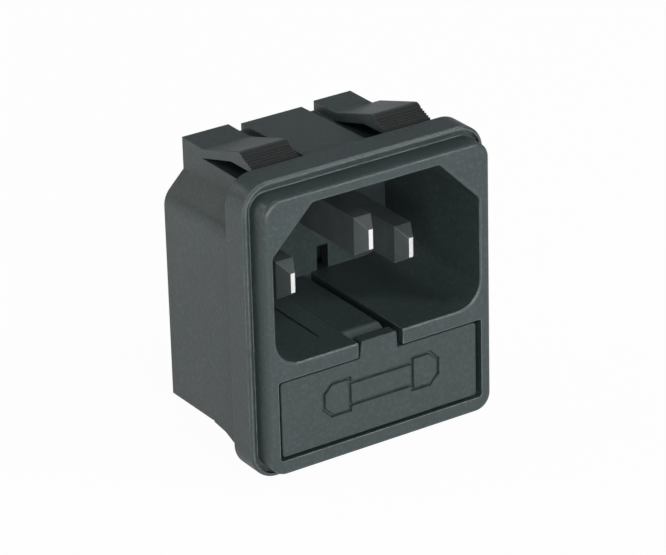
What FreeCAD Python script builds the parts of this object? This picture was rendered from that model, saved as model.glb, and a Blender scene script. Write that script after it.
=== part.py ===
import FreeCAD, Part
import math
import os

# Panel inlet socket with a fuse drawer, snapped into a sheet panel from the front.
# Millimetres.  X runs across, +Y runs from the face back into the equipment, +Z is up.
# The origin is the middle of the flange's rear face, the face that lands on the panel.

# ---- housing: bezel, flange and body ----
BEZEL_HALF_W = 13.15
BEZEL_HALF_H = 14.67
BEZEL_DEPTH = 2.25
BEZEL_CORNER = 1.8
BEZEL_EDGE = 0.5
BEZEL_SHIFT = 0.2
RIM_W = 0.4
GUTTER_DEPTH = 0.45
FLANGE_HALF_W = 14.05
FLANGE_SHIFT = 0.17
FLANGE_HALF_H = 15.8
FLANGE_T = 3.25
FLANGE_CORNER = 3.0
FLANGE_EDGE = 0.25
POCKET_DEPTH = 1.05
BODY_HALF_W_SEAT = 12.98
BODY_HALF_W_BACK = 12.85
BODY_BOTTOM_SEAT = -12.8
BODY_BOTTOM_BACK = -13.05
BODY_CORNER = 0.3
WEB = 0.2
SHOULDER_SUM_SEAT = 22.37
SHOULDER_SUM_BACK = 21.8
SHOULDER_ROUND = 2.4
DECK_TOP = 13.7
BLOCK_HALF_W = 3.59
BLOCK_RISE_FRONT = 1.25
BLOCK_RISE_BACK = 0.75
ARM_INNER = 5.07
ARM_OUTER = 10.455

# ---- latch arms above, fixed wedges below ----
# Arm heights are counted from the deck, and the ramp, crest and nose are set out from the flange.
ARM_ROOT_RISE = 1.04
ARM_ROOT_L = 3.65
ARM_KINK_L = 3.95
ARM_CREST_Y = 2.7
ARM_CREST_RISE = 3.02
ARM_CREST_ROUND = 0.4
ARM_RAMP_Y = 2.15
ARM_RAMP_RISE = 2.78
ARM_NOSE_Y = 0.2
ARM_NOSE_RISE = 1.98
ARM_NOSE_T = 0.4
ARM_UNDER_Y = 4.2
ARM_UNDER_RISE = 1.5
RIGHT_ROOT_RELIEF = 0.95
SERRATIONS = 6
SERRATION_DEPTH = 0.2
WEDGE_W = 5.0
WEDGE_STOP_Y = 1.54
WEDGE_DROP = 0.9
WEDGE_KNEE = 1.75
WEDGE_KNEE_DROP = 0.25
WEDGE_RUN = 3.8

# ---- recess that takes the connector ----
RECESS_HALF_W = 12.09
RECESS_H = 16.33
RECESS_FLOOR = -2.82
RECESS_CHAMFER = 4.69
RECESS_CHAMFER_ROUND = 0.7
RECESS_BOTTOM_ROUND = 2.8
RECESS_BACK_Y = 11.0
RECESS_DRAFT_SIDE = 0.14
RECESS_DRAFT_TOP = 0.5
RECESS_DRAFT_FLOOR = 0.1
RECESS_LEAD = 0.15
WALL_T = 1.2
BOSS_T = 0.4
BOSS_MARGIN = 0.75
BOSS_CORNER = 0.5
KEY_SLOT_X0 = 3.47
KEY_SLOT_X1 = 4.85
KEY_SLOT_TOP = -0.13
KEY_SLOT_DEPTH = 2.0
SCORE_X = -4.8
SCORE_W = 0.26
SCORE_DEPTH = 0.2

# ---- contact pins ----
PIN_HALF_H = 2.0
PIN_HALF_W = 1.0
PIN_SPAN = 14.0
PIN_Z = 3.15
EARTH_RISE = 4.0
PIN_TIP_Y = -0.86
EARTH_TIP_Y = -4.2
TIP_TAPER = 1.5
TIP_HALF_H = 1.05
TIP_HALF_W = 0.24
PIN_STEP = 0.5
TENON_HALF_H = 1.0
TENON_HALF_W = 0.6
PEEN_H = 0.4
PEEN_MARGIN = 0.25
PIN_FIT = 0.03
TENON_FIT = 0.03

# ---- fuse, the same for the working one and the spare ----
FUSE_HALF_L = 10.0
CAP_R = 2.6
CAP_L = 5.1
CAP_END_T = 0.35
CAP_EDGE = 0.25
TUBE_R = 2.25
TUBE_WALL = 0.5
WIRE_R = 0.14
GLASS_FIT = 0.02
FUSE_Z = -8.2
FUSE_Y = 7.2
SPARE_Y = -0.9

# ---- fuse drawer ----
DRAWER_FACE_X0 = -11.74
DRAWER_FACE_X1 = 11.42
DRAWER_FACE_TOP = -4.54
DRAWER_FACE_BOTTOM = -12.6
DRAWER_FACE_T = 1.8
DRAWER_FACE_CORNER = 0.35
SIDE_GAP_LEFT = 0.22
SIDE_GAP_RIGHT = 0.74
TOP_GAP = 0.14
BOTTOM_GAP = 0.44
STOP_GAP = 0.15
DRAWER_WALL = 0.7
FUSE_END_GAP = 0.3
DRAWER_SIDE_GAP = 0.25
DRAWER_HALF_H = 3.1
DRAWER_TOP_GAP = 0.3
DRAWER_WALL_END = 9.8
SPARE_GAP = 0.2
DIVIDER_T = 0.8
LIP_W = 0.7
REST_GAP = 0.01
FORK_HALF_W = 3.6
FORK_FIT = 0.03
FORK_T = 0.7
FORK_MOUTH = 1.55
TAB_X0_FOOT = -2.52
TAB_X1_FOOT = 2.02
TAB_X0_TOP = -2.24
TAB_X1_TOP = 1.89
TAB_TOP = -2.7
TAB_T = 1.25
SPINE_X0 = -2.5
SPINE_X1 = 1.75
SPINE_TOP = -2.87
SPINE_NOSE_Y = -2.6
SPINE_NOSE_DROP = 0.75
SPINE_GAP_LEFT = 0.12
SPINE_GAP_RIGHT = 0.93
SPINE_END_GAP = 0.3
DETENT = 0.15
DETENT_R = 0.4
DETENT_H = 3.0
MARK_W = 0.3
MARK_DEPTH = 0.25

# ---- metal parts behind the wall ----
CLIP_X = 7.4
CLIP_W = 3.6
CLIP_T = 0.4
CLIP_GRIP = 0.05
CLIP_LEG_Y = 5.3
CLIP_FLARE = 0.2
CLIP_FLARE_Y = 4.7
STRAP_T = 0.8
STRAP_W = 3.2
RIVET_R = 0.7
RIVET_HEAD_R = 1.15
RIVET_HEAD_T = 0.45
RIVET_FIT = 0.03
BLADE_W = 4.8
BLADE_L = 6.3
BLADE_TIP = 1.0
BLADE_HOLE_R = 0.8
NEUTRAL_BLADE_X = 3.9
EARTH_BLADE_Z = 8.6
LOAD_BLADE_X = 3.9
LOAD_BLADE_RISE = 0.65
BEND_R = 0.5

# ---- rear plate ----
POCKET_HALF_W = 11.3
POCKET_BOTTOM = -11.1
POCKET_TOP = 12.9
POCKET_SHOULDER_SUM = 18.9
POCKET_ROUND = 0.6
PLATE_FIT = 0.06
PLATE_RIM = 0.9
PLATE_INNER_Y = 13.6
PLATE_T = 1.0
BLADE_SLOT_GAP = 0.15

# ---- derived positions ----
FLANGE_FRONT = -FLANGE_T
FACE_Y = FLANGE_FRONT - BEZEL_DEPTH
WALL_BACK = RECESS_BACK_Y + WALL_T
BODY_DEPTH = WALL_BACK + POCKET_DEPTH
STRAP_BACK = WALL_BACK + STRAP_T
PLATE_OUTER_Y = PLATE_INNER_Y + PLATE_T
PIN_X = PIN_SPAN / 2
EARTH_Z = PIN_Z + EARTH_RISE
PIN_SHOULDER_Y = WALL_BACK - PIN_STEP
RECESS_TOP = RECESS_FLOOR + RECESS_H
DRAWER_IN = FUSE_HALF_L + FUSE_END_GAP
DRAWER_OUT = DRAWER_IN + DRAWER_WALL
DRAWER_TOP = FUSE_Z + DRAWER_HALF_H
DRAWER_BOTTOM = FUSE_Z - DRAWER_HALF_H
TUNNEL_HALF_W = DRAWER_OUT + DRAWER_SIDE_GAP
TUNNEL_TOP = DRAWER_TOP + DRAWER_TOP_GAP
TUNNEL_BOTTOM = DRAWER_BOTTOM - DRAWER_TOP_GAP
DRAWER_FACE_BACK = FACE_Y + DRAWER_FACE_T
REBATE_Y = DRAWER_FACE_BACK + STOP_GAP
SPARE_FRONT = DRAWER_FACE_BACK
SPARE_BACK = SPARE_Y + CAP_R + SPARE_GAP
SPINE_SLOT_X0 = SPINE_X0 - SPINE_GAP_LEFT
SPINE_SLOT_X1 = SPINE_X1 + SPINE_GAP_RIGHT
TAB_SLOT_X0 = TAB_X0_FOOT - SPINE_GAP_LEFT
TAB_SLOT_X1 = SPINE_SLOT_X1
CLIP_IN = CAP_R + CLIP_GRIP
CLIP_OUT = CLIP_IN + CLIP_T
CLIP_BASE_Y = RECESS_BACK_Y - CLIP_T
LOAD_BLADE_Z = FUSE_Z + LOAD_BLADE_RISE


def vec(x, y, z):
    return FreeCAD.Vector(x, y, z)


def box(x0, x1, y0, y1, z0, z1):
    return Part.makeBox(x1 - x0, y1 - y0, z1 - z0, vec(x0, y0, z0))


def outline(corners, y):
    """Closed wire in the plane Y=y through (x, z, radius) corners, each rounded by its radius."""
    ends = []
    count = len(corners)
    for i in range(count):
        x, z, r = corners[i]
        px, pz, _ = corners[i - 1]
        nx, nz, _ = corners[(i + 1) % count]
        here = vec(x, y, z)
        back = vec(px, y, pz).sub(here).normalize()
        ahead = vec(nx, y, nz).sub(here).normalize()
        half = back.getAngle(ahead) / 2
        if r <= 0:
            ends.append((here, None, here))
            continue
        reach = r / math.tan(half)
        middle = (back + ahead).normalize()
        centre = here + middle * (r / math.sin(half))
        ends.append((here + back * reach, centre - middle * r, here + ahead * reach))
    edges = []
    for i in range(count):
        start, mid, stop = ends[i]
        if mid is not None:
            edges.append(Part.Arc(start, mid, stop).toShape())
        following = ends[(i + 1) % count][0]
        if stop.distanceToPoint(following) > 1e-6:
            edges.append(Part.makeLine(stop, following))
    return Part.Wire(edges)


def prism(corners, y0, y1):
    return Part.Face(outline(corners, y0)).extrude(vec(0, y1 - y0, 0))


def taper(corners0, y0, corners1, y1):
    return Part.makeLoft([outline(corners0, y0), outline(corners1, y1)], True, True)


def oblong(x0, x1, z0, z1, radius):
    """Corners of an upright rectangle with four equal rounds."""
    return [(x0, z0, radius), (x1, z0, radius), (x1, z1, radius), (x0, z1, radius)]


def side_profile(points, x0, x1):
    """Solid with the given (y, z) side profile, running from x0 to x1."""
    wire = Part.makePolygon([vec(x0, y, z) for y, z in points + points[:1]])
    return Part.Face(wire).extrude(vec(x1 - x0, 0, 0))


def rod_y(radius, y0, y1, x, z):
    return Part.makeCylinder(radius, y1 - y0, vec(x, y0, z), vec(0, 1, 0))


def rod_x(radius, x0, x1, y, z):
    return Part.makeCylinder(radius, x1 - x0, vec(x0, y, z), vec(1, 0, 0))


def fuse_all(first, others):
    return first.fuse(others).removeSplitter()


def cut_all(first, others):
    return first.cut(others)


def edges_where(shape, test):
    """Edges whose middle point passes the test."""
    found = []
    for edge in shape.Edges:
        spot = edge.valueAt((edge.FirstParameter + edge.LastParameter) / 2)
        if test(spot):
            found.append(edge)
    return found


def bezel_corners():
    left = BEZEL_SHIFT - BEZEL_HALF_W
    right = BEZEL_SHIFT + BEZEL_HALF_W
    return [
        (left, -BEZEL_HALF_H, BEZEL_CORNER),
        (right, -BEZEL_HALF_H, BEZEL_CORNER),
        (right, BEZEL_HALF_H, BEZEL_CORNER),
        (left, BEZEL_HALF_H, BEZEL_CORNER),
    ]


def body_corners(half_w, bottom, shoulder_sum):
    side_top = shoulder_sum - half_w
    step = shoulder_sum - ARM_OUTER
    return [
        (-half_w, bottom + BODY_CORNER, 0),
        (BODY_CORNER - half_w, bottom, 0),
        (half_w - BODY_CORNER, bottom, 0),
        (half_w, bottom + BODY_CORNER, 0),
        (half_w, side_top, SHOULDER_ROUND),
        (ARM_OUTER, step, 0),
        (ARM_OUTER, DECK_TOP, 0),
        (-ARM_OUTER, DECK_TOP, 0),
        (-ARM_OUTER, step, 0),
        (-half_w, side_top, SHOULDER_ROUND),
    ]


def recess_corners(side, top, floor, chamfer):
    half_w = RECESS_HALF_W - side
    high = RECESS_TOP - top
    low = RECESS_FLOOR + floor
    return [
        (-half_w, low, RECESS_BOTTOM_ROUND),
        (half_w, low, RECESS_BOTTOM_ROUND),
        (half_w, high - chamfer, RECESS_CHAMFER_ROUND),
        (half_w - chamfer, high, RECESS_CHAMFER_ROUND),
        (chamfer - half_w, high, RECESS_CHAMFER_ROUND),
        (-half_w, high - chamfer, RECESS_CHAMFER_ROUND),
    ]


def pocket_corners(inset):
    half_w = POCKET_HALF_W - inset
    top = POCKET_TOP - inset
    bottom = POCKET_BOTTOM + inset
    total = POCKET_SHOULDER_SUM - inset * math.sqrt(2)
    return [
        (-half_w, bottom, POCKET_ROUND),
        (half_w, bottom, POCKET_ROUND),
        (half_w, total - half_w, POCKET_ROUND),
        (total - top, top, POCKET_ROUND),
        (top - total, top, POCKET_ROUND),
        (-half_w, total - half_w, POCKET_ROUND),
    ]


def latch_arm_profile():
    """Side profile of one latch arm: root at the back, sprung nose and serrated ramp at the front."""
    points = [
        (BODY_DEPTH, DECK_TOP - WEB),
        (BODY_DEPTH, DECK_TOP + ARM_ROOT_RISE),
        (BODY_DEPTH - ARM_KINK_L, DECK_TOP + ARM_ROOT_RISE),
        (ARM_CREST_Y + ARM_CREST_ROUND, DECK_TOP + ARM_CREST_RISE - 0.08),
        (ARM_CREST_Y, DECK_TOP + ARM_CREST_RISE),
        (ARM_CREST_Y - ARM_CREST_ROUND / 2, DECK_TOP + ARM_CREST_RISE - 0.06),
        (ARM_RAMP_Y, DECK_TOP + ARM_RAMP_RISE),
    ]
    step_y = (ARM_NOSE_Y - ARM_RAMP_Y) / SERRATIONS
    step_z = (ARM_NOSE_RISE - ARM_RAMP_RISE) / SERRATIONS
    for i in range(SERRATIONS):
        base_y = ARM_RAMP_Y + step_y * i
        base_z = DECK_TOP + ARM_RAMP_RISE + step_z * i
        points.append((base_y + step_y * 0.25, base_z + step_z * 0.25 - SERRATION_DEPTH))
        points.append((base_y + step_y, base_z + step_z))
    points.append((ARM_NOSE_Y, DECK_TOP + ARM_NOSE_RISE - ARM_NOSE_T))
    points.append((ARM_UNDER_Y, DECK_TOP + ARM_UNDER_RISE))
    points.append((BODY_DEPTH - ARM_ROOT_L, DECK_TOP))
    points.append((BODY_DEPTH - ARM_ROOT_L, DECK_TOP - WEB))
    return points


def pin_positions():
    return {
        "line_pin": (-PIN_X, PIN_Z, PIN_TIP_Y),
        "neutral_pin": (PIN_X, PIN_Z, PIN_TIP_Y),
        "earth_pin": (0.0, EARTH_Z, EARTH_TIP_Y),
    }


def make_housing():
    left = FLANGE_SHIFT - FLANGE_HALF_W
    right = FLANGE_SHIFT + FLANGE_HALF_W
    flange = prism(oblong(left, right, -FLANGE_HALF_H, FLANGE_HALF_H, FLANGE_CORNER), FLANGE_FRONT, 0)
    rim = edges_where(flange, lambda p: abs(p.y - FLANGE_FRONT) < 1e-6)
    flange = flange.makeChamfer(FLANGE_EDGE, rim)
    ring = prism(oblong(left + RIM_W, right - RIM_W, RIM_W - FLANGE_HALF_H, FLANGE_HALF_H - RIM_W,
                        FLANGE_CORNER - RIM_W), FLANGE_FRONT - 0.1, FLANGE_FRONT + GUTTER_DEPTH)
    flange = flange.cut(ring)
    bezel = prism(bezel_corners(), FACE_Y, FLANGE_FRONT + GUTTER_DEPTH)
    rim = edges_where(bezel, lambda p: abs(p.y - FACE_Y) < 1e-6)
    bezel = bezel.makeFillet(BEZEL_EDGE, rim)
    body = taper(body_corners(BODY_HALF_W_SEAT, BODY_BOTTOM_SEAT, SHOULDER_SUM_SEAT), 0,
                 body_corners(BODY_HALF_W_BACK, BODY_BOTTOM_BACK, SHOULDER_SUM_BACK), BODY_DEPTH)
    block = side_profile([
        (0, DECK_TOP - WEB),
        (BODY_DEPTH, DECK_TOP - WEB),
        (BODY_DEPTH, DECK_TOP + BLOCK_RISE_BACK),
        (0, DECK_TOP + BLOCK_RISE_FRONT),
    ], -BLOCK_HALF_W, BLOCK_HALF_W)
    parts = [bezel, body, block]
    for side in (-1, 1):
        x0, x1 = sorted((side * ARM_INNER, side * ARM_OUTER))
        parts.append(side_profile(latch_arm_profile(), x0, x1))
        outer = side * BODY_HALF_W_BACK
        x0, x1 = sorted((outer, outer - side * WEDGE_W))
        parts.append(side_profile([
            (WEDGE_STOP_Y + WEDGE_RUN, BODY_BOTTOM_SEAT + BODY_CORNER + 0.1),
            (WEDGE_STOP_Y, BODY_BOTTOM_SEAT + BODY_CORNER + 0.1),
            (WEDGE_STOP_Y, BODY_BOTTOM_SEAT - WEDGE_DROP),
            (WEDGE_STOP_Y + WEDGE_KNEE, BODY_BOTTOM_SEAT - WEDGE_KNEE_DROP),
            (WEDGE_STOP_Y + WEDGE_RUN, BODY_BOTTOM_SEAT),
        ], x0, x1))
    solid = fuse_all(flange, parts)
    relief = box(ARM_OUTER - RIGHT_ROOT_RELIEF, ARM_OUTER + 0.1, BODY_DEPTH - ARM_KINK_L, BODY_DEPTH + 0.1,
                 DECK_TOP, DECK_TOP + ARM_ROOT_RISE + 0.1)
    solid = solid.cut(relief)

    lead = RECESS_LEAD
    recess = taper(recess_corners(0, 0, 0, RECESS_CHAMFER), FACE_Y,
                   recess_corners(RECESS_DRAFT_SIDE, RECESS_DRAFT_TOP, RECESS_DRAFT_FLOOR, RECESS_CHAMFER),
                   RECESS_BACK_Y)
    mouth = taper(recess_corners(-lead, -lead, -lead, RECESS_CHAMFER), FACE_Y - 0.01,
                  recess_corners(0.05, 0.05, 0.05, RECESS_CHAMFER), FACE_Y + lead)
    rebate = prism([
        (DRAWER_FACE_X0 - SIDE_GAP_LEFT, DRAWER_FACE_BOTTOM - BOTTOM_GAP, DRAWER_FACE_CORNER),
        (DRAWER_FACE_X1 + SIDE_GAP_RIGHT, DRAWER_FACE_BOTTOM - BOTTOM_GAP, DRAWER_FACE_CORNER),
        (DRAWER_FACE_X1 + SIDE_GAP_RIGHT, DRAWER_FACE_TOP + TOP_GAP, DRAWER_FACE_CORNER),
        (DRAWER_FACE_X0 - SIDE_GAP_LEFT, DRAWER_FACE_TOP + TOP_GAP, DRAWER_FACE_CORNER),
    ], FACE_Y - 0.1, REBATE_Y)
    tunnel = box(-TUNNEL_HALF_W, TUNNEL_HALF_W, REBATE_Y - 0.1, RECESS_BACK_Y, TUNNEL_BOTTOM, TUNNEL_TOP)
    tab_slot = box(TAB_SLOT_X0, TAB_SLOT_X1, FACE_Y - 0.1, REBATE_Y, DRAWER_FACE_TOP, RECESS_FLOOR + 0.3)
    spine_slot = box(SPINE_SLOT_X0, SPINE_SLOT_X1, REBATE_Y - 0.1, RECESS_BACK_Y, TUNNEL_TOP - 0.1,
                     RECESS_FLOOR + 0.3)
    key_slot = box(KEY_SLOT_X0, KEY_SLOT_X1, RECESS_BACK_Y - 0.1, RECESS_BACK_Y + KEY_SLOT_DEPTH,
                   RECESS_FLOOR + RECESS_DRAFT_FLOOR, KEY_SLOT_TOP)
    score = box(SCORE_X - SCORE_W, SCORE_X, REBATE_Y + 1.5, RECESS_BACK_Y, RECESS_FLOOR - SCORE_DEPTH,
                RECESS_FLOOR + 0.3)
    pocket = prism(pocket_corners(0), WALL_BACK, BODY_DEPTH + 0.1)
    solid = cut_all(solid, [recess, mouth, rebate, tunnel, tab_slot, spine_slot, key_slot, score, pocket])

    bosses = []
    holes = []
    for x, z, _ in pin_positions().values():
        wide = PIN_HALF_W + BOSS_MARGIN
        tall = PIN_HALF_H + BOSS_MARGIN
        bosses.append(prism([
            (x - wide, z - tall + BOSS_CORNER, 0),
            (x - wide + BOSS_CORNER, z - tall, 0),
            (x + wide - BOSS_CORNER, z - tall, 0),
            (x + wide, z - tall + BOSS_CORNER, 0),
            (x + wide, z + tall - BOSS_CORNER, 0),
            (x + wide - BOSS_CORNER, z + tall, 0),
            (x - wide + BOSS_CORNER, z + tall, 0),
            (x - wide, z + tall - BOSS_CORNER, 0),
        ], RECESS_BACK_Y - BOSS_T, RECESS_BACK_Y + 0.1))
        wide = PIN_HALF_W + PIN_FIT
        tall = PIN_HALF_H + PIN_FIT
        holes.append(box(x - wide, x + wide, RECESS_BACK_Y - 1, PIN_SHOULDER_Y, z - tall, z + tall))
        wide = TENON_HALF_W + TENON_FIT
        tall = TENON_HALF_H + TENON_FIT
        holes.append(box(x - wide, x + wide, PIN_SHOULDER_Y - 0.1, WALL_BACK + 0.1, z - tall, z + tall))
    for side in (-1, 1):
        holes.append(rod_y(RIVET_R + RIVET_FIT, RECESS_BACK_Y - 0.1, WALL_BACK + 0.1, side * CLIP_X, FUSE_Z))
    solid = fuse_all(solid, bosses)
    return cut_all(solid, holes)


def make_pin(x, z, tip_y):
    """Flat contact blade with a coined tip, a shoulder and a tenon peened over the strap behind."""
    blade = box(x - PIN_HALF_W, x + PIN_HALF_W, tip_y + TIP_TAPER, PIN_SHOULDER_Y, z - PIN_HALF_H, z + PIN_HALF_H)
    tip = taper([
        (x - TIP_HALF_W, z - TIP_HALF_H, 0),
        (x + TIP_HALF_W, z - TIP_HALF_H, 0),
        (x + TIP_HALF_W, z + TIP_HALF_H, 0),
        (x - TIP_HALF_W, z + TIP_HALF_H, 0),
    ], tip_y, [
        (x - PIN_HALF_W, z - PIN_HALF_H, 0),
        (x + PIN_HALF_W, z - PIN_HALF_H, 0),
        (x + PIN_HALF_W, z + PIN_HALF_H, 0),
        (x - PIN_HALF_W, z + PIN_HALF_H, 0),
    ], tip_y + TIP_TAPER)
    tenon = box(x - TENON_HALF_W, x + TENON_HALF_W, PIN_SHOULDER_Y - 0.1, STRAP_BACK + 0.1,
                z - TENON_HALF_H, z + TENON_HALF_H)
    wide = TENON_HALF_W + PEEN_MARGIN
    tall = TENON_HALF_H + PEEN_MARGIN
    head = box(x - wide, x + wide, STRAP_BACK, STRAP_BACK + PEEN_H, z - tall, z + tall)
    rim = edges_where(head, lambda p: abs(p.y - STRAP_BACK - PEEN_H) < 1e-6)
    head = head.makeChamfer(0.2, rim)
    return fuse_all(blade, [tip, tenon, head])


def strap(x0, x1, z0, z1):
    plate = box(x0, x1, WALL_BACK, STRAP_BACK, z0, z1)
    upright = edges_where(plate, lambda p: abs(p.y - (WALL_BACK + STRAP_BACK) / 2) < 1e-6)
    return plate.makeFillet(0.4, upright)


def tenon_hole(x, z):
    wide = TENON_HALF_W + TENON_FIT
    tall = TENON_HALF_H + TENON_FIT
    return box(x - wide, x + wide, WALL_BACK - 0.1, STRAP_BACK + 0.1, z - tall, z + tall)


def rivet_hole(x):
    return rod_y(RIVET_R + RIVET_FIT, WALL_BACK - 0.1, STRAP_BACK + 0.1, x, FUSE_Z)


def upright_blade(x, z):
    """Quick-connect blade standing off the strap, 0.8 thick across X, with chamfered tip and a hole."""
    end = PLATE_OUTER_Y + BLADE_L
    half = BLADE_W / 2
    blade = side_profile([
        (WALL_BACK, z - half),
        (end - BLADE_TIP, z - half),
        (end, z - half + BLADE_TIP),
        (end, z + half - BLADE_TIP),
        (end - BLADE_TIP, z + half),
        (WALL_BACK, z + half),
    ], x, x + STRAP_T)
    hole = Part.makeCylinder(BLADE_HOLE_R, STRAP_T + 1, vec(x - 0.5, end - BLADE_L / 2, z), vec(1, 0, 0))
    return blade.cut(hole)


def make_side_tab(fixing_x, z, blade_x, hole):
    """Bent tab: a flat foot fixed at fixing_x and a blade standing off it at blade_x."""
    foot = box(blade_x, fixing_x + STRAP_W / 2, WALL_BACK, STRAP_BACK, z - BLADE_W / 2, z + BLADE_W / 2)
    solid = fuse_all(foot, [upright_blade(blade_x, z)])
    bend = edges_where(solid, lambda p: abs(p.y - WALL_BACK) < 1e-6 and abs(p.x - blade_x) < 1e-6)
    solid = solid.makeFillet(BEND_R, bend)
    return solid.cut(hole)


def make_earth_tab():
    """Earth tab: foot over the earth tenon, blade lying flat above it."""
    end = PLATE_OUTER_Y + BLADE_L
    half = BLADE_W / 2
    foot = box(-half, half, WALL_BACK, STRAP_BACK, EARTH_Z - STRAP_W / 2, EARTH_BLADE_Z + STRAP_T)
    wire = Part.makePolygon([
        vec(-half, WALL_BACK, EARTH_BLADE_Z),
        vec(half, WALL_BACK, EARTH_BLADE_Z),
        vec(half, end - BLADE_TIP, EARTH_BLADE_Z),
        vec(half - BLADE_TIP, end, EARTH_BLADE_Z),
        vec(BLADE_TIP - half, end, EARTH_BLADE_Z),
        vec(-half, end - BLADE_TIP, EARTH_BLADE_Z),
        vec(-half, WALL_BACK, EARTH_BLADE_Z),
    ])
    blade = Part.Face(wire).extrude(vec(0, 0, STRAP_T))
    hole = Part.makeCylinder(BLADE_HOLE_R, STRAP_T + 1, vec(0, end - BLADE_L / 2, EARTH_BLADE_Z - 0.5))
    solid = fuse_all(foot, [blade.cut(hole)])
    top = EARTH_BLADE_Z + STRAP_T
    bend = edges_where(solid, lambda p: abs(p.y - WALL_BACK) < 1e-6 and abs(p.z - top) < 1e-6)
    solid = solid.makeFillet(BEND_R, bend)
    return solid.cut(tenon_hole(0, EARTH_Z))


def make_line_bus():
    """Flat bar behind the wall joining the line pin to its fuse clip."""
    upper = strap(-PIN_X - STRAP_W / 2, -PIN_X + STRAP_W / 2, FUSE_Z - STRAP_W / 2, PIN_Z + STRAP_W / 2)
    return upper.cut([tenon_hole(-PIN_X, PIN_Z), rivet_hole(-CLIP_X)])


def make_clip(x):
    """U-shaped spring clip: base riveted to the wall, two legs reaching forward round the fuse cap."""
    points = [
        (RECESS_BACK_Y, FUSE_Z - CLIP_OUT),
        (CLIP_LEG_Y, FUSE_Z - CLIP_OUT),
        (CLIP_FLARE_Y, FUSE_Z - CLIP_OUT - CLIP_FLARE),
        (CLIP_FLARE_Y, FUSE_Z - CLIP_IN - CLIP_FLARE),
        (CLIP_LEG_Y, FUSE_Z - CLIP_IN),
        (CLIP_BASE_Y, FUSE_Z - CLIP_IN),
        (CLIP_BASE_Y, FUSE_Z + CLIP_IN),
        (CLIP_LEG_Y, FUSE_Z + CLIP_IN),
        (CLIP_FLARE_Y, FUSE_Z + CLIP_IN + CLIP_FLARE),
        (CLIP_FLARE_Y, FUSE_Z + CLIP_OUT + CLIP_FLARE),
        (CLIP_LEG_Y, FUSE_Z + CLIP_OUT),
        (RECESS_BACK_Y, FUSE_Z + CLIP_OUT),
    ]
    clip = side_profile(points, x - CLIP_W / 2, x + CLIP_W / 2)
    bends = edges_where(clip, lambda p: abs(p.x - x) < 1e-6 and abs(p.y - RECESS_BACK_Y) < 1e-6)
    clip = clip.makeFillet(0.35, bends)
    slit = 0.3
    for side in (-1, 1):
        z0, z1 = sorted((FUSE_Z + side * (CLIP_IN - 0.3), FUSE_Z + side * (CLIP_OUT + 0.6)))
        clip = clip.cut(box(x - slit, x + slit, CLIP_FLARE_Y - 0.1, CLIP_BASE_Y - 1.0, z0, z1))
    return clip.cut(rod_y(RIVET_R + RIVET_FIT, CLIP_BASE_Y - 0.1, RECESS_BACK_Y + 0.1, x, FUSE_Z))


def make_rivet(x):
    shank = rod_y(RIVET_R, CLIP_BASE_Y - 0.1, STRAP_BACK + 0.1, x, FUSE_Z)
    head = rod_y(RIVET_HEAD_R, CLIP_BASE_Y - RIVET_HEAD_T, CLIP_BASE_Y, x, FUSE_Z)
    tail = rod_y(RIVET_HEAD_R, STRAP_BACK, STRAP_BACK + RIVET_HEAD_T, x, FUSE_Z)
    tail = tail.makeChamfer(0.2, edges_where(tail, lambda p: abs(p.y - STRAP_BACK - RIVET_HEAD_T) < 1e-6))
    return fuse_all(shank, [head, tail])


def blade_slot(x0, x1, z0, z1):
    gap = BLADE_SLOT_GAP
    return box(x0 - gap, x1 + gap, PLATE_INNER_Y - 0.1, PLATE_OUTER_Y + 0.1, z0 - gap, z1 + gap)


def make_rear_plate():
    """Tray-shaped plate pushed into the pocket in the back, its rim standing on the wall."""
    plate = prism(pocket_corners(PLATE_FIT), WALL_BACK, PLATE_OUTER_Y)
    rim = edges_where(plate, lambda p: abs(p.y - PLATE_OUTER_Y) < 1e-6)
    plate = plate.makeChamfer(0.3, rim)
    hollow = prism(pocket_corners(PLATE_FIT + PLATE_RIM), WALL_BACK - 0.1, PLATE_INNER_Y)
    half = BLADE_W / 2
    slots = [
        blade_slot(NEUTRAL_BLADE_X, NEUTRAL_BLADE_X + STRAP_T, PIN_Z - half, PIN_Z + half),
        blade_slot(LOAD_BLADE_X, LOAD_BLADE_X + STRAP_T, LOAD_BLADE_Z - half, LOAD_BLADE_Z + half),
        blade_slot(-half, half, EARTH_BLADE_Z, EARTH_BLADE_Z + STRAP_T),
    ]
    return cut_all(plate, [hollow] + slots)


def mark_line(x0, z0, x1, z1):
    """Shallow groove cutter on the drawer face between two points."""
    length = math.hypot(x1 - x0, z1 - z0)
    bar = box(-MARK_W / 2, length + MARK_W / 2, FACE_Y - 0.1, FACE_Y + MARK_DEPTH, -MARK_W / 2, MARK_W / 2)
    bar.rotate(vec(0, 0, 0), vec(0, 1, 0), -math.degrees(math.atan2(z1 - z0, x1 - x0)))
    bar.translate(vec(x0, 0, z0))
    return bar


def fuse_mark():
    """Generic cartridge-fuse outline: two capped ends and a plain barrel between them."""
    middle_z = -8.02
    inner = 3.72
    outer = 6.78
    cap_half = 1.75
    barrel_half = 1.2
    corner = 0.95
    cutters = []
    for side in (-1, 1):
        path = [
            (side * inner, middle_z + cap_half),
            (side * (outer - corner), middle_z + cap_half),
            (side * outer, middle_z + cap_half - corner),
            (side * outer, middle_z - cap_half + corner),
            (side * (outer - corner), middle_z - cap_half),
            (side * inner, middle_z - cap_half),
            (side * inner, middle_z + cap_half),
        ]
        for start, stop in zip(path, path[1:]):
            cutters.append(mark_line(start[0], start[1], stop[0], stop[1]))
        cutters.append(mark_line(-inner, middle_z + side * barrel_half, inner, middle_z + side * barrel_half))
    return cutters


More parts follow.
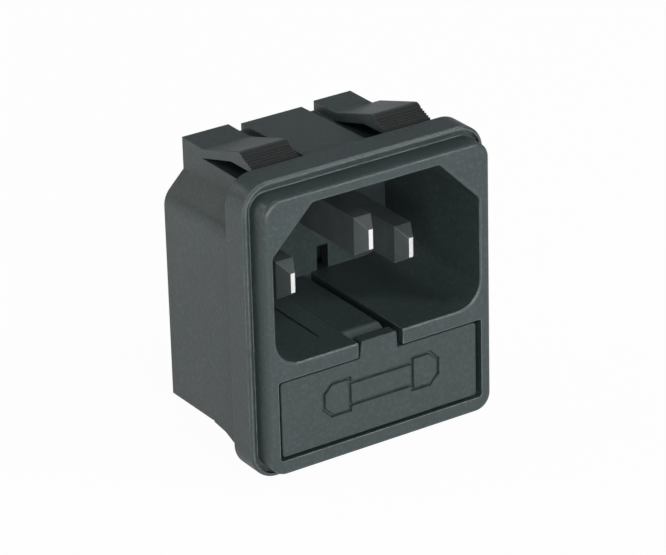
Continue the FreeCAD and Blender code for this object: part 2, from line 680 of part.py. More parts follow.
def make_drawer():
    face = prism([
        (DRAWER_FACE_X0, DRAWER_FACE_BOTTOM, DRAWER_FACE_CORNER),
        (DRAWER_FACE_X1, DRAWER_FACE_BOTTOM, DRAWER_FACE_CORNER),
        (DRAWER_FACE_X1, DRAWER_FACE_TOP, DRAWER_FACE_CORNER),
        (DRAWER_FACE_X0, DRAWER_FACE_TOP, DRAWER_FACE_CORNER),
    ], FACE_Y, DRAWER_FACE_BACK)
    tab = prism([
        (TAB_X0_FOOT, DRAWER_FACE_TOP - 0.2, 0),
        (TAB_X1_FOOT, DRAWER_FACE_TOP - 0.2, 0),
        (TAB_X1_TOP, TAB_TOP, 0.25),
        (TAB_X0_TOP, TAB_TOP, 0.25),
    ], FACE_Y, FACE_Y + TAB_T)
    tab_back = FACE_Y + TAB_T
    spine = side_profile([
        (tab_back - 0.1, TUNNEL_TOP - 0.5),
        (tab_back - 0.1, SPINE_TOP - SPINE_NOSE_DROP),
        (tab_back, SPINE_TOP - SPINE_NOSE_DROP),
        (SPINE_NOSE_Y, SPINE_TOP),
        (RECESS_BACK_Y - SPINE_END_GAP, SPINE_TOP),
        (RECESS_BACK_Y - SPINE_END_GAP, TUNNEL_TOP + 0.1),
        (SPARE_BACK + DIVIDER_T, TUNNEL_TOP + 0.1),
        (SPARE_BACK + DIVIDER_T, TUNNEL_TOP - 0.5),
    ], SPINE_X0, SPINE_X1)
    spine_tail = side_profile([
        (SPARE_BACK, TUNNEL_TOP + 0.2),
        (SPARE_BACK, TUNNEL_TOP - 0.5),
        (FUSE_Y, TUNNEL_TOP - 0.5),
        (FUSE_Y, TUNNEL_TOP + 0.2),
    ], SPINE_X0, SPINE_X1)
    parts = [tab, spine, spine_tail]
    for side in (-1, 1):
        x0, x1 = sorted((side * DRAWER_IN, side * DRAWER_OUT))
        wall = box(x0, x1, DRAWER_FACE_BACK - 0.1, DRAWER_WALL_END, DRAWER_BOTTOM, DRAWER_TOP)
        end = edges_where(wall, lambda p: abs(p.y - DRAWER_WALL_END) < 1e-6 and abs(p.x) < DRAWER_OUT - 0.1
                          and abs(p.z - FUSE_Z) > DRAWER_HALF_H - 0.1)
        parts.append(wall.makeChamfer(0.8, end))
        ridge_x = side * (DRAWER_OUT - DETENT_R + DETENT)
        parts.append(Part.makeCylinder(DETENT_R, DETENT_H, vec(ridge_x, FUSE_Y, FUSE_Z - DETENT_H / 2)))
    parts.append(box(-DRAWER_IN, DRAWER_IN, SPARE_BACK, SPARE_BACK + DIVIDER_T, DRAWER_BOTTOM, DRAWER_TOP))
    roof_z = FUSE_Z + CAP_R + SPARE_GAP
    parts.append(box(-DRAWER_IN, DRAWER_IN, DRAWER_FACE_BACK - 0.1, SPARE_BACK + 0.1, roof_z, DRAWER_TOP))
    front_lip = SPARE_FRONT + LIP_W
    back_lip = SPARE_BACK - LIP_W
    drop_front = math.sqrt(CAP_R ** 2 - (SPARE_Y - front_lip) ** 2)
    drop_back = math.sqrt(CAP_R ** 2 - (back_lip - SPARE_Y) ** 2)
    parts.append(box(-DRAWER_IN, DRAWER_IN, SPARE_FRONT - 0.1, front_lip, DRAWER_BOTTOM,
                     FUSE_Z - drop_front - REST_GAP))
    parts.append(box(-DRAWER_IN, DRAWER_IN, back_lip, SPARE_BACK + 0.1, DRAWER_BOTTOM,
                     FUSE_Z - drop_back - REST_GAP))
    fork_in = TUBE_R + FORK_FIT
    fork = rod_x(fork_in + FORK_T, -FORK_HALF_W, FORK_HALF_W, FUSE_Y, FUSE_Z)
    parts.append(fork)
    parts.append(box(-FORK_HALF_W, FORK_HALF_W, SPARE_BACK + DIVIDER_T - 0.1, FUSE_Y - TUBE_R,
                     FUSE_Z - 1.1, FUSE_Z + 1.1))
    solid = fuse_all(face, parts)
    cutters = [
        rod_x(fork_in, -FORK_HALF_W - 0.1, FORK_HALF_W + 0.1, FUSE_Y, FUSE_Z),
        box(-FORK_HALF_W - 0.1, FORK_HALF_W + 0.1, FUSE_Y + FORK_MOUTH, FUSE_Y + CAP_R + FORK_T,
            FUSE_Z - fork_in - FORK_T, TUNNEL_TOP - 0.6),
    ]
    return cut_all(solid, cutters + fuse_mark())


def make_cap(y, side):
    tip = side * FUSE_HALF_L
    x0, x1 = sorted((tip, tip - side * CAP_L))
    cap = rod_x(CAP_R, x0, x1, y, FUSE_Z)
    rim = edges_where(cap, lambda p: abs(p.x - tip) < 1e-6)
    cap = cap.makeChamfer(CAP_EDGE, rim)
    inner = side * (FUSE_HALF_L - CAP_END_T)
    x0, x1 = sorted((inner, tip - side * (CAP_L + 0.1)))
    return cap.cut(rod_x(TUBE_R + GLASS_FIT, x0, x1, y, FUSE_Z))


def make_tube(y):
    half = FUSE_HALF_L - CAP_END_T - GLASS_FIT
    outer = rod_x(TUBE_R, -half, half, y, FUSE_Z)
    return outer.cut(rod_x(TUBE_R - TUBE_WALL, -half - 1, half + 1, y, FUSE_Z))


def make_wire(y):
    half = FUSE_HALF_L - CAP_END_T - GLASS_FIT / 2
    return rod_x(WIRE_R, -half, half, y, FUSE_Z)


nodes = {
    "housing": make_housing(),
    "rear_plate": make_rear_plate(),
    "line_bus": make_line_bus(),
    "neutral_tab": make_side_tab(PIN_X, PIN_Z, NEUTRAL_BLADE_X, tenon_hole(PIN_X, PIN_Z)),
    "load_tab": make_side_tab(CLIP_X, LOAD_BLADE_Z, LOAD_BLADE_X, rivet_hole(CLIP_X)),
    "earth_tab": make_earth_tab(),
    "line_clip": make_clip(-CLIP_X),
    "load_clip": make_clip(CLIP_X),
    "line_rivet": make_rivet(-CLIP_X),
    "load_rivet": make_rivet(CLIP_X),
    "fuse_drawer": make_drawer(),
}
for name, place in pin_positions().items():
    nodes[name] = make_pin(*place)
for name, y in (("fuse", FUSE_Y), ("spare", SPARE_Y)):
    nodes[name + "_tube"] = make_tube(y)
    nodes[name + "_wire"] = make_wire(y)
    nodes[name + "_cap_left"] = make_cap(y, -1)
    nodes[name + "_cap_right"] = make_cap(y, 1)

os.makedirs("parts", exist_ok=True)
for name, shape in nodes.items():
    if len(shape.Solids) != 1 or not shape.isValid():
        print("check", name, len(shape.Solids), shape.isValid())
    shape.exportStep("parts/" + name + ".step")
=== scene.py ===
import math

import bpy
from mathutils import Matrix, Vector


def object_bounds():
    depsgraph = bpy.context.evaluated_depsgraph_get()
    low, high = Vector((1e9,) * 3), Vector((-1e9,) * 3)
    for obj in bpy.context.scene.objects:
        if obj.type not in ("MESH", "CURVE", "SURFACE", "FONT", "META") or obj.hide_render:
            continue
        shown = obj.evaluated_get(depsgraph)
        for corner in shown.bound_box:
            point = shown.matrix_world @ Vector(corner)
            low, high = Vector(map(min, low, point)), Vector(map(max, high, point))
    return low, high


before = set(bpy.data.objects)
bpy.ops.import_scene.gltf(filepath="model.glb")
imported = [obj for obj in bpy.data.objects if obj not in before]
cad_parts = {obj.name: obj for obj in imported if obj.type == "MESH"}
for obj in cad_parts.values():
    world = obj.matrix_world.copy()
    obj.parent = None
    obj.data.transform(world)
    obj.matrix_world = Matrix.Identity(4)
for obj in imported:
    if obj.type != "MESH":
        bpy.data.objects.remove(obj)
cad_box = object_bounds()

# The housing is one moulding in charcoal glass-filled nylon: bezel, flange, recess, body, latch arms.
# It comes from a spark-textured tool, so its skin is satin with a fine grain.
# Its edges are painted paler, partly as rubbed wear and partly as painted highlight lines.
HOUSING_COLOUR = (0.0305, 0.0425, 0.0430, 1)
HOUSING_EDGE_WEAR_AND_HIGHLIGHT = (0.19, 0.215, 0.21, 1)
HOUSING_SMOOTH = 0.34
HOUSING_ROUGH = 0.44
NYLON_IOR = 1.5
NYLON_SPECULAR = 0.5
CLOUD_LIFT = 1.14
FLECK_LIFT = 1.7
SKIN_DEPTH = 0.00003
SKIN_STRENGTH = 0.6
GRAIN_SIZE = 5200.0
GRAIN_ROUGHNESS = 0.62
PIT_SHARE = 0.45
PIT_DEPTH = 0.35
CLOUD_SIZE = 210.0
CLOUD_ROUGHNESS = 0.55
FLECK_SIZE = 2600.0
EDGE_WIDTH = 0.00016
EDGE_SAMPLES = 6
WEAR_AND_PAINT_SIZE = 900.0
WEAR_AND_PAINT_LEAST = 0.45
WEAR_AND_PAINT_FRONT_Y = -0.0025
WEAR_AND_PAINT_BEHIND_Y = -0.0005
WEAR_AND_PAINT_BEHIND = 0.12


def feed(tree, place, value):
    """Sets an input, or links it where the value is another node's output."""
    if isinstance(value, bpy.types.NodeSocket):
        tree.links.new(value, place)
    else:
        place.default_value = value


def calc(tree, operation, *values):
    """One step of arithmetic on numbers and outputs."""
    made = tree.nodes.new("ShaderNodeMath")
    made.operation = operation
    for place, value in zip(made.inputs, values):
        feed(tree, place, value)
    return made.outputs[0]


def spread(tree, value, from_min, from_max, to_min=0.0, to_max=1.0):
    """Maps one range of a value to another, and stops at its ends."""
    made = tree.nodes.new("ShaderNodeMapRange")
    limits = (("From Min", from_min), ("From Max", from_max), ("To Min", to_min), ("To Max", to_max))
    feed(tree, made.inputs["Value"], value)
    for name, limit in limits:
        feed(tree, made.inputs[name], limit)
    return made


def noise(tree, at, size, detail, roughness=0.5):
    """Cloudy noise at a place."""
    made = tree.nodes.new("ShaderNodeTexNoise")
    feed(tree, made.inputs["Vector"], at)
    feed(tree, made.inputs["Scale"], size)
    made.inputs["Detail"].default_value = detail
    made.inputs["Roughness"].default_value = roughness
    return made.outputs["Fac"]


def blend(tree, first, second, share, kind="RGBA"):
    """Mixes two colours or two values by a share."""
    made = tree.nodes.new("ShaderNodeMix")
    made.data_type = kind
    feed(tree, made.inputs["A"], first)
    feed(tree, made.inputs["B"], second)
    feed(tree, made.inputs["Factor"], share)
    return made.outputs["Result"]


def parts_of(tree, vector):
    """The X, Y and Z of a place or a direction."""
    made = tree.nodes.new("ShaderNodeSeparateXYZ")
    tree.links.new(vector, made.inputs["Vector"])
    return made.outputs


def node_group(name, given, made):
    """A new node group with its inputs and outputs, each given as a name, a kind and a value."""
    tree = bpy.data.node_groups.new(name, "ShaderNodeTree")
    for label, kind, value in given:
        tree.interface.new_socket(name=label, in_out="INPUT", socket_type=kind).default_value = value
    for label, kind in made:
        tree.interface.new_socket(name=label, in_out="OUTPUT", socket_type=kind)
    return tree, tree.nodes.new("NodeGroupInput").outputs, tree.nodes.new("NodeGroupOutput").inputs


def use_group(tree, group, **values):
    """A use of a node group, with some of its inputs set."""
    made = tree.nodes.new("ShaderNodeGroup")
    made.node_tree = group
    for label, value in values.items():
        feed(tree, made.inputs[label.replace("_", " ")], value)
    return made.outputs


def brighter(colour, lift):
    """The same colour, made lighter or darker by a factor."""
    return [part * lift for part in colour[:3]] + [1]


def moulded_skin_nodes():
    """Fine spark texture, slow clouding and light flecks of a moulded face."""
    tree, given, out = node_group("moulded skin", (
        ("Grain Size", "NodeSocketFloat", GRAIN_SIZE),
        ("Cloud Size", "NodeSocketFloat", CLOUD_SIZE),
        ("Smooth", "NodeSocketFloat", HOUSING_SMOOTH),
        ("Rough", "NodeSocketFloat", HOUSING_ROUGH),
    ), (
        ("Cloud", "NodeSocketFloat"),
        ("Roughness", "NodeSocketFloat"),
        ("Height", "NodeSocketFloat"),
        ("Fleck", "NodeSocketFloat"),
    ))
    at = tree.nodes.new("ShaderNodeTexCoord").outputs["Object"]
    grain = noise(tree, at, given["Grain Size"], 3.0, GRAIN_ROUGHNESS)
    pits = tree.nodes.new("ShaderNodeTexVoronoi")
    pits.inputs["Randomness"].default_value = 1.0
    feed(tree, pits.inputs["Vector"], at)
    feed(tree, pits.inputs["Scale"], calc(tree, "MULTIPLY", given["Grain Size"], PIT_SHARE))
    clouding = noise(tree, at, given["Cloud Size"], 4.0, CLOUD_ROUGHNESS)
    cloud = spread(tree, clouding, 0.3, 0.7).outputs["Result"]
    rough = spread(tree, cloud, 0.0, 1.0, given["Smooth"], given["Rough"]).outputs["Result"]
    fleck = spread(tree, noise(tree, at, FLECK_SIZE, 2.0), 0.48, 0.80).outputs["Result"]
    feed(tree, out["Cloud"], cloud)
    feed(tree, out["Roughness"], rough)
    feed(tree, out["Height"], calc(tree, "MULTIPLY_ADD", pits.outputs["Distance"], PIT_DEPTH, grain))
    feed(tree, out["Fleck"], fleck)
    return tree


def edge_wear_and_paint_nodes():
    """A mask that is 1 on the outer edges and 0 on the flats, broken up by noise.

    The edges it marks take another tint: real wear on the metals, wear together with painted highlight lines
    on the housing and rear plate, and painted shade on the drawer.
    Its value Behind says how much of the mask stays behind the flange, where hands seldom reach.
    """
    tree, given, out = node_group("edge wear and painted light", (
        ("Width", "NodeSocketFloat", EDGE_WIDTH),
        ("Behind", "NodeSocketFloat", 1.0),
    ), (
        ("Edge", "NodeSocketFloat"),
        ("Soft Normal", "NodeSocketVector"),
    ))
    soft = tree.nodes.new("ShaderNodeBevel")
    soft.samples = EDGE_SAMPLES
    feed(tree, soft.inputs["Radius"], given["Width"])
    turned = tree.nodes.new("ShaderNodeVectorMath")
    turned.operation = "DOT_PRODUCT"
    feed(tree, turned.inputs[0], soft.outputs["Normal"])
    feed(tree, turned.inputs[1], tree.nodes.new("ShaderNodeNewGeometry").outputs["Normal"])
    edge = spread(tree, turned.outputs["Value"], 0.998, 0.90).outputs["Result"]
    at = tree.nodes.new("ShaderNodeTexCoord").outputs["Object"]
    broken_up = spread(tree, noise(tree, at, WEAR_AND_PAINT_SIZE, 3.0), 0.35, 0.6, WEAR_AND_PAINT_LEAST).outputs["Result"]
    edge_tint = calc(tree, "MULTIPLY", edge, broken_up)
    depth = parts_of(tree, at)["Y"]
    reach = spread(tree, depth, WEAR_AND_PAINT_FRONT_Y, WEAR_AND_PAINT_BEHIND_Y, 1.0, given["Behind"]).outputs["Result"]
    feed(tree, out["Edge"], calc(tree, "MULTIPLY", edge_tint, reach))
    feed(tree, out["Soft Normal"], soft.outputs["Normal"])
    return tree


def box_mask_nodes():
    """A mask that is 1 inside a box, given by its middle and its half sizes, and 0 outside."""
    tree, given, out = node_group("box mask", (
        ("Middle", "NodeSocketVector", (0, 0, 0)),
        ("Half Size", "NodeSocketVector", (0.001, 0.001, 0.001)),
    ), (
        ("Inside", "NodeSocketFloat"),
    ))
    at = parts_of(tree, tree.nodes.new("ShaderNodeTexCoord").outputs["Object"])
    middle = parts_of(tree, given["Middle"])
    half = parts_of(tree, given["Half Size"])
    near = [calc(tree, "COMPARE", at[axis], middle[axis], half[axis]) for axis in "XYZ"]
    feed(tree, out["Inside"], calc(tree, "MULTIPLY", calc(tree, "MULTIPLY", near[0], near[1]), near[2]))
    return tree


MOULDED_SKIN = moulded_skin_nodes()
EDGE_WEAR_AND_PAINT = edge_wear_and_paint_nodes()
BOX_MASK = box_mask_nodes()


def shaded(name):
    """A new material, its node tree and its shader."""
    material = bpy.data.materials.new(name)
    material.use_nodes = True
    return material, material.node_tree, material.node_tree.nodes["Principled BSDF"]


def bumped(tree, shader, height, soft_normal, strength, depth):
    """Gives the shader the rounded edges and the fine relief of a skin."""
    relief = tree.nodes.new("ShaderNodeBump")
    relief.inputs["Strength"].default_value = strength
    relief.inputs["Distance"].default_value = depth
    feed(tree, relief.inputs["Height"], height)
    feed(tree, relief.inputs["Normal"], soft_normal)
    feed(tree, shader.inputs["Normal"], relief.outputs["Normal"])


def moulded_plastic(name, colour, edge_colour, smooth, rough, edge=EDGE_WIDTH, edge_rough=None):
    """Satin moulded nylon: clouded colour, grain in the skin and edges of another tint, paler for wear and
    painted highlight on the housing, darker for painted shade on the drawer.
    """
    material, tree, shader = shaded(name)
    shader.inputs["IOR"].default_value = NYLON_IOR
    shader.inputs["Specular IOR Level"].default_value = NYLON_SPECULAR
    skin = use_group(tree, MOULDED_SKIN, Smooth=smooth, Rough=rough)
    edge_mark = use_group(tree, EDGE_WEAR_AND_PAINT, Width=edge, Behind=WEAR_AND_PAINT_BEHIND)
    clouded = blend(tree, colour, brighter(colour, CLOUD_LIFT), skin["Cloud"])
    flecked = blend(tree, clouded, brighter(colour, FLECK_LIFT), skin["Fleck"])
    feed(tree, shader.inputs["Base Color"], blend(tree, flecked, edge_colour, edge_mark["Edge"]))
    gloss = skin["Roughness"]
    if edge_rough is not None:
        gloss = blend(tree, gloss, edge_rough, edge_mark["Edge"], "FLOAT")
    feed(tree, shader.inputs["Roughness"], gloss)
    bumped(tree, shader, skin["Height"], edge_mark["Soft Normal"], SKIN_STRENGTH, SKIN_DEPTH)
    return material


def finish_nodes(material, *names):
    """Puts a finish on parts that keep their own shape."""
    for name in names:
        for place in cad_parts[name].material_slots:
            place.material = material


def laid_over(material, socket, value, mask):
    """Mixes a value over what already feeds a shader's input, where a mask is 1."""
    tree = material.node_tree
    place = tree.nodes["Principled BSDF"].inputs[socket]
    kind = "FLOAT" if socket == "Roughness" else "RGBA"
    feed(tree, place, blend(tree, place.links[0].from_socket, value, mask, kind))


def painted_patch(material, low, high, tint):
    """A painted tint between two corners of a box: painted shade in the key slot, painted light on the
    spine's nose.
    """
    middle = [(a + b) / 2 for a, b in zip(low, high)]
    half = [(b - a) / 2 for a, b in zip(low, high)]
    inside = use_group(material.node_tree, BOX_MASK, Middle=middle, Half_Size=half)["Inside"]
    laid_over(material, "Base Color", tint, inside)


# The serrated grips of the latch arms come from an eroded, unpolished part of the same tool, so they are
# duller.
# Their slopes, which lie high and behind the flange and face the front, are painted darker as painted shade,
# and made rougher.
GRIP_PAINTED_SHADE = (0.008, 0.010, 0.010, 1)
GRIP_ROUGH = 0.85
GRIP_LOWEST = 0.0135
GRIP_FLAT = -0.20
GRIP_STEEP = -0.38


def grip_painted_shade(material):
    """Painted shade and a rougher skin on the serrated slopes."""
    tree = material.node_tree
    coordinates = tree.nodes.new("ShaderNodeTexCoord").outputs
    at = parts_of(tree, coordinates["Object"])
    arm = calc(tree, "MULTIPLY",
               calc(tree, "GREATER_THAN", at["Z"], GRIP_LOWEST),
               calc(tree, "GREATER_THAN", at["Y"], 0.0))
    facing = parts_of(tree, coordinates["Normal"])
    slope = spread(tree, facing["Y"], GRIP_FLAT, GRIP_STEEP).outputs["Result"]
    grip_shade_mask = calc(tree, "MULTIPLY", arm, slope)
    laid_over(material, "Base Color", GRIP_PAINTED_SHADE, grip_shade_mask)
    laid_over(material, "Roughness", GRIP_ROUGH, grip_shade_mask)


# The key slot in the recess is painted darker, as painted shade in its depth.
KEY_SLOT_LOW = (0.0034, 0.0111, -0.0060)
KEY_SLOT_HIGH = (0.0049, 0.0140, 0.0)
KEY_SLOT_PAINTED_SHADE = (0.016, 0.020, 0.020, 1)
housing_nylon = moulded_plastic("charcoal nylon", HOUSING_COLOUR, HOUSING_EDGE_WEAR_AND_HIGHLIGHT, HOUSING_SMOOTH, HOUSING_ROUGH)
grip_painted_shade(housing_nylon)
painted_patch(housing_nylon, KEY_SLOT_LOW, KEY_SLOT_HIGH, KEY_SLOT_PAINTED_SHADE)
finish_nodes(housing_nylon, "housing")

# The rear plate closes the back of the moulding and carries the blades.
# It is the same nylon from a plainer tool, pressed in on its rim.
PLATE_COLOUR = (0.028, 0.034, 0.035, 1)
PLATE_SMOOTH = 0.46
PLATE_ROUGH = 0.62
plate_nylon = moulded_plastic("rear plate nylon", PLATE_COLOUR, HOUSING_EDGE_WEAR_AND_HIGHLIGHT, PLATE_SMOOTH, PLATE_ROUGH)
finish_nodes(plate_nylon, "rear_plate")

# The blades and the bus strap are stamped from tinned brass sheet.
# The tin is soft and dull, with fine rolling lines and bare brass at the sheared edges.
TIN_COLOUR = (0.60, 0.58, 0.54, 1)
BRASS_COLOUR = (0.62, 0.44, 0.17, 1)
METAL_CLOUD_SIZE = 700.0
METAL_CLOUD_DROP = 0.82
LINE_STRETCH = (1.0, 0.06, 1.0)
LINE_STRENGTH = 0.3


def metal(name, colour, edge_tint, smooth, rough, line_size, bump, edge, metallic=1.0):
    """Sheet or drawn metal: fine drawn lines, cloudy gloss and a second colour on the edges."""
    material, tree, shader = shaded(name)
    shader.inputs["Metallic"].default_value = metallic
    drawn = tree.nodes.new("ShaderNodeMapping")
    drawn.inputs["Scale"].default_value = LINE_STRETCH
    feed(tree, drawn.inputs["Vector"], tree.nodes.new("ShaderNodeTexCoord").outputs["Object"])
    lines = noise(tree, drawn.outputs["Vector"], line_size, 4.0)
    skin = use_group(tree, MOULDED_SKIN, Cloud_Size=METAL_CLOUD_SIZE, Smooth=smooth, Rough=rough)
    edge_mark = use_group(tree, EDGE_WEAR_AND_PAINT, Width=edge)
    clouded = blend(tree, colour, brighter(colour, METAL_CLOUD_DROP), skin["Cloud"])
    feed(tree, shader.inputs["Base Color"], blend(tree, clouded, edge_tint, edge_mark["Edge"]))
    feed(tree, shader.inputs["Roughness"], skin["Roughness"])
    bumped(tree, shader, lines, edge_mark["Soft Normal"], LINE_STRENGTH, bump)
    return material


tinned_brass = metal("tinned brass", TIN_COLOUR, BRASS_COLOUR, smooth=0.24, rough=0.42,
                     line_size=4200.0, bump=0.00001, edge=0.00010)
finish_nodes(tinned_brass, "line_bus", "neutral_tab", "load_tab", "earth_tab")

# The fuse clips are bent from spring bronze strip, and the rivets are turned brass.
# The clips grip the working fuse by its caps, and each rivet holds one clip to the plate.
SPRING_COLOUR = (0.56, 0.50, 0.42, 1)
RIVET_BRIGHT = (0.78, 0.62, 0.33, 1)
spring_bronze = metal("spring bronze", SPRING_COLOUR, BRASS_COLOUR, smooth=0.22, rough=0.38,
                      line_size=5200.0, bump=0.00001, edge=0.00008)
finish_nodes(spring_bronze, "line_clip", "load_clip")
rivet_brass = metal("rivet brass", BRASS_COLOUR, RIVET_BRIGHT, smooth=0.2, rough=0.36,
                    line_size=2600.0, bump=0.00001, edge=0.00012)
finish_nodes(rivet_brass, "line_rivet", "load_rivet")

# The three contact pins are solid brass bars, nickel plated, with coined tips.
# They are pressed through the recess wall. Their sides are dull, and their end faces, which look to the
# front, are painted bright as a painted highlight.
NICKEL_COLOUR = (0.165, 0.192, 0.190, 1)
NICKEL_RUBBED = (0.30, 0.32, 0.32, 1)
NICKEL_BRIGHT = (0.86, 0.86, 0.84, 1)
END_FROM = -0.90
END_FULL = -0.98


def painted_end_highlight(material, bright):
    """A painted highlight: the end face of a pin that looks to the front is painted brighter."""
    tree = material.node_tree
    facing = parts_of(tree, tree.nodes.new("ShaderNodeTexCoord").outputs["Normal"])
    end = spread(tree, facing["Y"], END_FROM, END_FULL).outputs["Result"]
    laid_over(material, "Base Color", bright, end)


pin_nickel = metal("nickel plate", NICKEL_COLOUR, NICKEL_RUBBED, smooth=0.32, rough=0.38,
                   line_size=2400.0, bump=0.0000002, edge=0.00009, metallic=0.6)
painted_end_highlight(pin_nickel, NICKEL_BRIGHT)
finish_nodes(pin_nickel, "line_pin", "neutral_pin", "earth_pin")

# The fuse drawer is a second moulding in the same nylon, a little smoother on its face.
# It slides in from the front below the recess, and a fuse outline is cut into its face.
# The edges of that outline and of the drawer are painted darker, as painted shade in the grooves and the gap,
# and the nose of its spine is painted paler, as painted light on its front-facing end.
DRAWER_COLOUR = (0.0275, 0.0385, 0.0388, 1)
DRAWER_PAINTED_SHADE = (0.006, 0.008, 0.008, 1)
DRAWER_SMOOTH = 0.34
DRAWER_ROUGH = 0.43
DRAWER_SHADE_WIDTH = 0.00018
DRAWER_EDGE_ROUGH = 0.9
# The spine's nose is painted paler, as painted light on its front-facing end.
SPINE_NOSE_LOW = (-0.0025, -0.0034, -0.0040)
SPINE_NOSE_HIGH = (0.0017, -0.0022, -0.0027)
SPINE_NOSE_PAINTED_LIGHT = (0.080, 0.098, 0.098, 1)
drawer_nylon = moulded_plastic("drawer nylon", DRAWER_COLOUR, DRAWER_PAINTED_SHADE, DRAWER_SMOOTH, DRAWER_ROUGH,
                               DRAWER_SHADE_WIDTH, DRAWER_EDGE_ROUGH)
painted_patch(drawer_nylon, SPINE_NOSE_LOW, SPINE_NOSE_HIGH, SPINE_NOSE_PAINTED_LIGHT)
finish_nodes(drawer_nylon, "fuse_drawer")

# Two glass fuses lie in the drawer, the working one behind and a spare in front.
# Each is a glass tube with pressed nickel caps and a thin tinned wire from cap to cap.
CAP_COLOUR = (0.66, 0.64, 0.60, 1)
GLASS_COLOUR = (0.93, 0.97, 0.95, 1)
GLASS_IOR = 1.5
GLASS_HAZE = 0.06
WIRE_COLOUR = (0.68, 0.66, 0.62, 1)
cap_nickel = metal("fuse cap nickel", CAP_COLOUR, NICKEL_BRIGHT, smooth=0.14, rough=0.30,
                   line_size=3600.0, bump=0.000006, edge=0.00010)
finish_nodes(cap_nickel, "fuse_cap_left", "fuse_cap_right", "spare_cap_left", "spare_cap_right")
fuse_glass, glass_tree, glass_shader = shaded("fuse glass")
glass_shader.inputs["Base Color"].default_value = GLASS_COLOUR
glass_shader.inputs["Transmission Weight"].default_value = 1.0
glass_shader.inputs["IOR"].default_value = GLASS_IOR
glass_skin = use_group(glass_tree, MOULDED_SKIN, Smooth=0.0, Rough=GLASS_HAZE)
feed(glass_tree, glass_shader.inputs["Roughness"], glass_skin["Roughness"])
finish_nodes(fuse_glass, "fuse_tube", "spare_tube")
wire_tin = metal("fuse wire tin", WIRE_COLOUR, NICKEL_BRIGHT, smooth=0.2, rough=0.34,
                 line_size=5200.0, bump=0.000004, edge=0.00003)
finish_nodes(wire_tin, "fuse_wire", "spare_wire")

# The piece stands on a plain white table under soft studio lamps.
# The table shows white to the eye and in the shine of the parts, and keeps a soft shadow.
TABLE_HALF = 1.6
TABLE_GAP = 0.00002
TABLE_Z = cad_box[0][2] - TABLE_GAP
TABLE_COLOUR = (0.80, 0.80, 0.80, 1)
TABLE_ROUGH = 0.9
TABLE_SHOWN = 0.97
TABLE_SHINE = 0.40
PAPER_SIZE = 600.0
PAPER_STRENGTH = 0.02
bpy.ops.object.select_all(action="DESELECT")
bpy.ops.mesh.primitive_plane_add(size=2 * TABLE_HALF, location=(0, 0, TABLE_Z))
table = bpy.context.active_object
table.name = "table"
table.data.transform(table.matrix_world)
table.matrix_world = Matrix.Identity(4)
white, white_tree, matt = shaded("white table")
matt.inputs["Base Color"].default_value = TABLE_COLOUR
matt.inputs["Roughness"].default_value = TABLE_ROUGH
matt.inputs["Specular IOR Level"].default_value = 0.0
paper_at = white_tree.nodes.new("ShaderNodeTexCoord").outputs["Object"]
paper_bump = white_tree.nodes.new("ShaderNodeBump")
paper_bump.inputs["Strength"].default_value = PAPER_STRENGTH
feed(white_tree, paper_bump.inputs["Height"], noise(white_tree, paper_at, PAPER_SIZE, 2.0))
feed(white_tree, matt.inputs["Normal"], paper_bump.outputs["Normal"])
glow = white_tree.nodes.new("ShaderNodeEmission")
glow.inputs["Strength"].default_value = 1.0


def seen_shares(tree, shown, shine):
    """How much of the plain white is seen by the eye or through glass, and how much in the shine."""
    ray = tree.nodes.new("ShaderNodeLightPath").outputs
    eye = calc(tree, "MAXIMUM", ray["Is Camera Ray"], ray["Is Transmission Ray"])
    return calc(tree, "MULTIPLY", eye, shown), calc(tree, "MULTIPLY", ray["Is Glossy Ray"], shine)


table_eye, table_gloss = seen_shares(white_tree, TABLE_SHOWN, TABLE_SHINE)
table_mix = white_tree.nodes.new("ShaderNodeMixShader")
feed(white_tree, table_mix.inputs["Fac"], calc(white_tree, "MAXIMUM", table_eye, table_gloss))
white_tree.links.new(matt.outputs["BSDF"], table_mix.inputs[1])
white_tree.links.new(glow.outputs["Emission"], table_mix.inputs[2])
white_tree.links.new(table_mix.outputs["Shader"], white_tree.nodes["Material Output"].inputs["Surface"])
table.data.materials.append(white)

# The room is white to the eye, and dim for the parts: a pale horizon in their shine that fades upwards.
# A little even light fills the shadows.
SKY_COLOUR = (0.94, 0.98, 1, 1)
SKY_GLOW = 0.06
SKY_SHINE = 0.25
HORIZON_TOP = 0.42
HORIZON_END = 0.80
ZENITH_SHARE = 0.12
world = bpy.data.worlds.new("studio")
bpy.context.scene.world = world
world.use_nodes = True
room = world.node_tree
sky = room.nodes["Background"]
sky.inputs["Color"].default_value = SKY_COLOUR
room_eye, room_gloss = seen_shares(room, 1.0, SKY_SHINE)
way = parts_of(room, room.nodes.new("ShaderNodeTexCoord").outputs["Generated"])
fade = spread(room, way["Z"], HORIZON_TOP, HORIZON_END, 1.0, ZENITH_SHARE)
fade.interpolation_type = "SMOOTHSTEP"
wall_shine = calc(room, "MULTIPLY", room_gloss, fade.outputs["Result"])
soft_glow = calc(room, "MULTIPLY", room.nodes.new("ShaderNodeLightPath").outputs["Is Diffuse Ray"], SKY_GLOW)
bright = calc(room, "MAXIMUM", room_eye, wall_shine)
feed(room, sky.inputs["Strength"], calc(room, "MAXIMUM", bright, soft_glow))

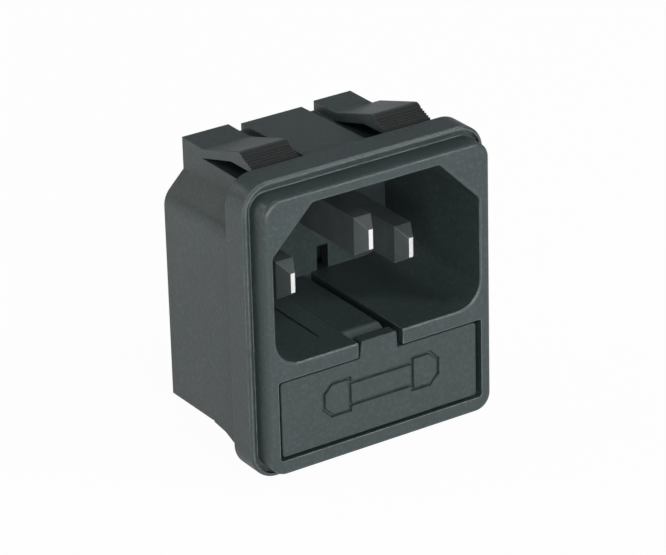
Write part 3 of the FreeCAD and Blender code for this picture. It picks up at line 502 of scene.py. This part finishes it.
# The lamps are soft boxes round the piece, at a plain level.
# Two small ones draw the light lines on the upper front edges and on the left corners.
WHITE = (1, 1, 1)
WARM = (1.0, 0.97, 0.92)
LAMP_AIM = Vector((0, 0.004, 0))
LAMPS = (
    ("front_lamp", (-0.10, -0.90, 0.18), 0.6, 0.5, 5.5, WHITE),
    ("front_high", (-0.15, -0.75, 0.65), 0.5, 0.4, 1.9, WHITE),
    ("low_left_front", (-0.55, -0.65, 0.0), 0.6, 0.3, 4.4, WHITE),
    ("left_high", (-0.60, 0.45, 0.60), 0.5, 0.4, 0.95, WARM),
    ("corner_lamp", (-0.42, 0.76, 0.49), 0.12, 0.12, 0.3, WARM),
    ("top_lamp", (0.05, 0.20, 1.00), 0.7, 0.7, 1.7, WHITE),
    ("left_back", (-0.85, 0.45, 0.15), 0.6, 0.5, 1.9, WARM),
    ("edge_lamp", (0.495, -0.53, 0.67), 0.20, 0.20, 2.9, WHITE),
)


def softbox(name, place, width, height, watts, colour):
    """A soft rectangular lamp at a place, turned to the piece."""
    lamp = bpy.data.lights.new(name, "AREA")
    lamp.color = colour
    lamp.shape = "RECTANGLE"
    lamp.size = width
    lamp.size_y = height
    lamp.energy = watts
    holder = bpy.data.objects.new(name, lamp)
    bpy.context.scene.collection.objects.link(holder)
    holder.location = place
    holder.rotation_euler = (LAMP_AIM - Vector(place)).to_track_quat("-Z", "Y").to_euler()


for lamp_values in LAMPS:
    softbox(*lamp_values)

# The camera looks down over the left shoulder of the piece with a long lens.
# Its three axes come from its azimuth, elevation and roll.
AZIMUTH = math.radians(-33.038)
ELEVATION = math.radians(25.009)
ROLL = math.radians(-1.536)
CAMERA_PLACE = (-0.183085, -0.278771, 0.157125)
LENS = 201.66
SENSOR_WIDTH = 36.0
NEAR_END = 0.01
FAR_END = 10.0
ground_x = math.sin(AZIMUTH) * math.cos(ELEVATION)
ground_y = -math.cos(AZIMUTH) * math.cos(ELEVATION)
toward = Vector((ground_x, ground_y, math.sin(ELEVATION)))
level_right = Vector((math.cos(AZIMUTH), math.sin(AZIMUTH), 0))
level_up = toward.cross(level_right)
right = math.cos(ROLL) * level_right + math.sin(ROLL) * level_up
up = -math.sin(ROLL) * level_right + math.cos(ROLL) * level_up
camera_data = bpy.data.cameras.new("camera")
camera_data.lens = LENS
camera_data.sensor_width = SENSOR_WIDTH
camera_data.clip_start = NEAR_END
camera_data.clip_end = FAR_END
camera = bpy.data.objects.new("camera", camera_data)
bpy.context.scene.collection.objects.link(camera)
turn = Matrix((right, up, toward)).transposed()
camera.matrix_world = Matrix.Translation(Vector(CAMERA_PLACE)) @ turn.to_4x4()
bpy.context.scene.camera = camera
bpy.context.scene.view_settings.view_transform = "Standard"
